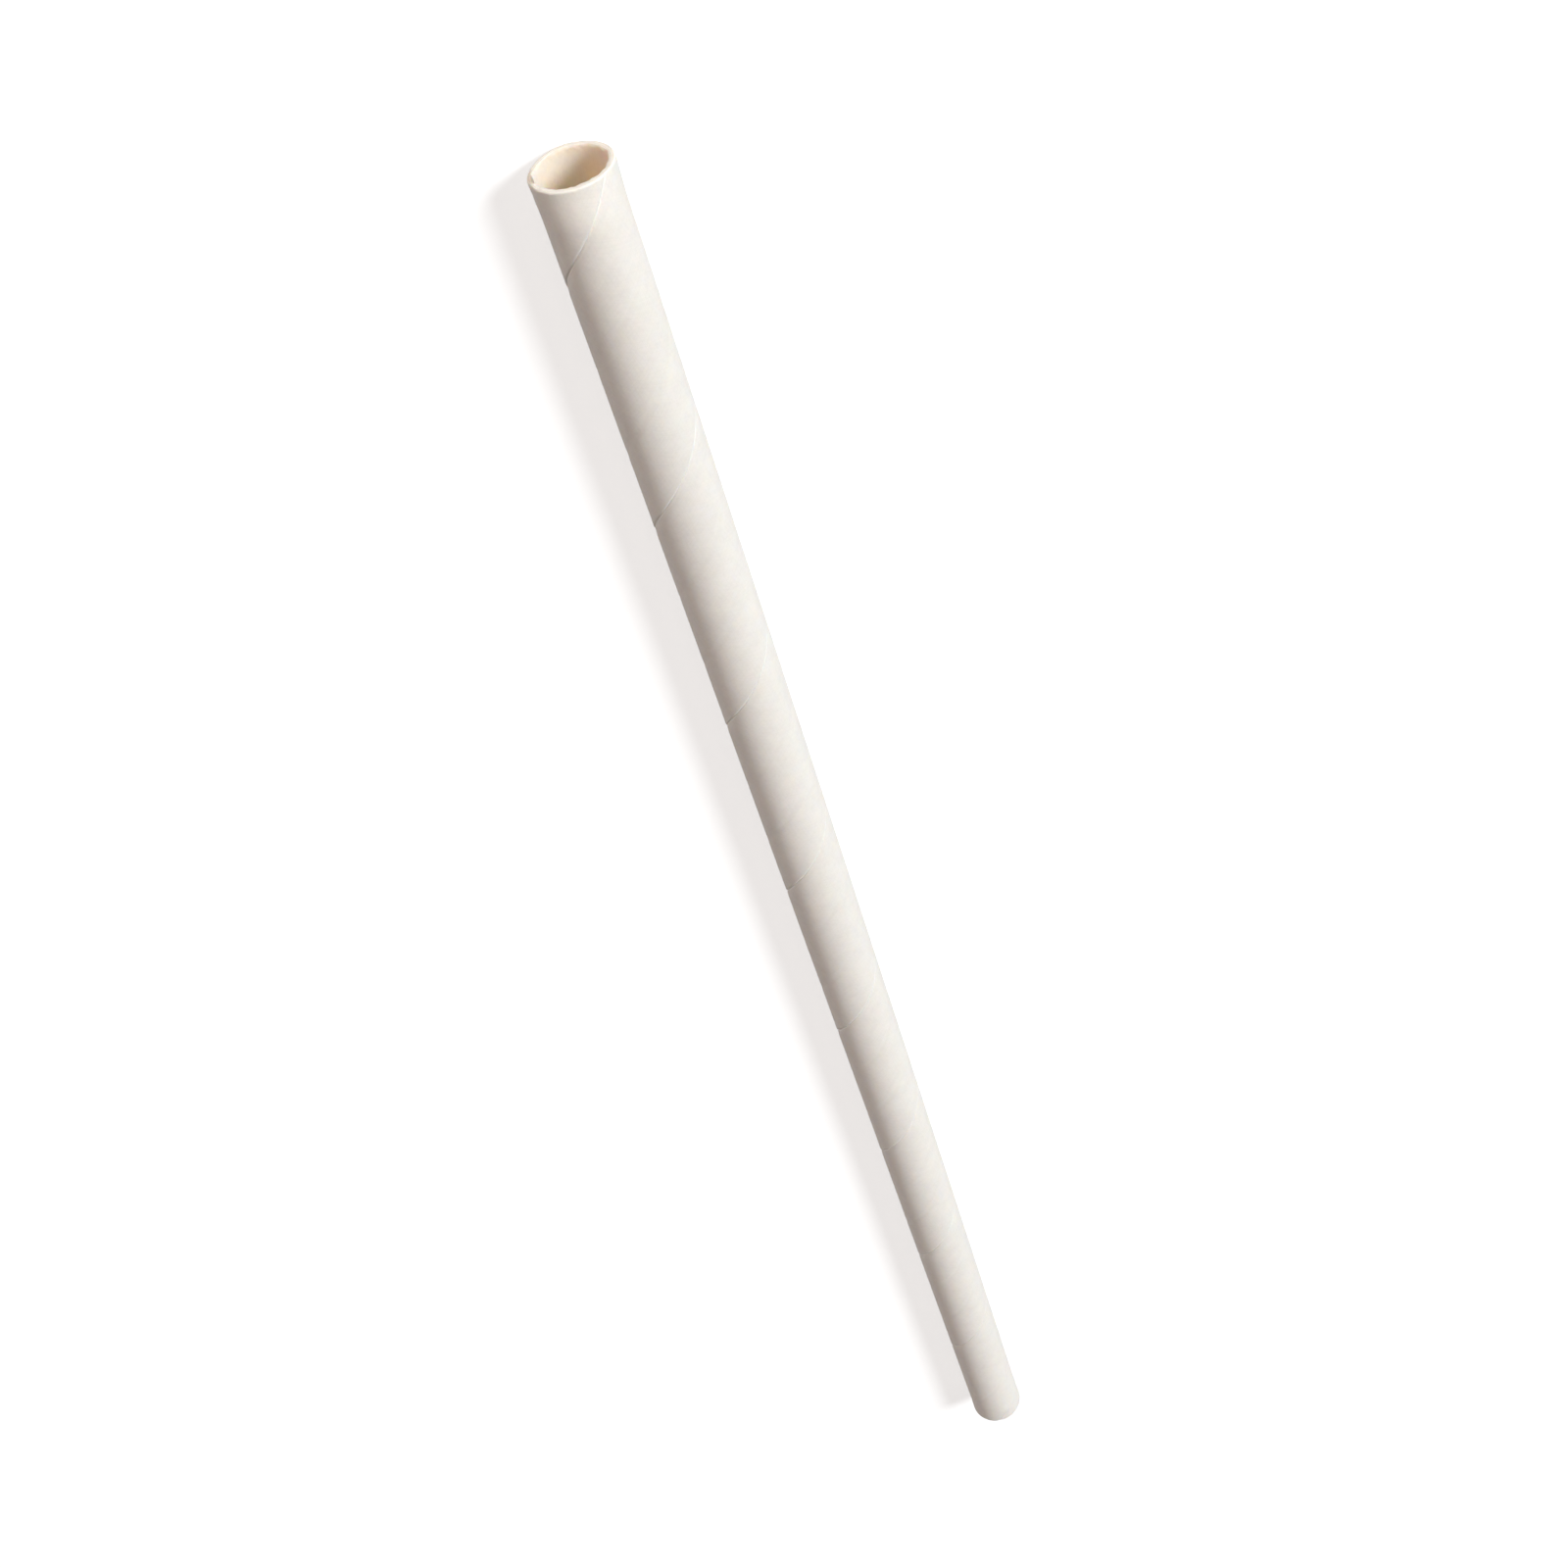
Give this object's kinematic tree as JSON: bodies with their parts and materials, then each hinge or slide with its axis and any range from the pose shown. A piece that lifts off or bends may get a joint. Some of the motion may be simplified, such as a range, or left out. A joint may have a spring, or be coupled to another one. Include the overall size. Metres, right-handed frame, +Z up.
{
  "type": "paper drinking straw",
  "caption": "Straight, spiral-wound white paper drinking straw: a thin-walled round tube, open at both ends, with a fine helical seam outside and inside.",
  "frame": {"origin": "bottom centre of the tube as it lies on its side", "axes": "+X along the tube, towards the mouth that the picture shows; +Z up, away from the surface it lies on"},
  "size_m": [0.197, 0.006, 0.006],
  "materials": {
    "paper": "matt uncoated ivory paper"
  },
  "bodies": {
    "root": {"paper_tube": "paper"}
  },
  "joints": []
}
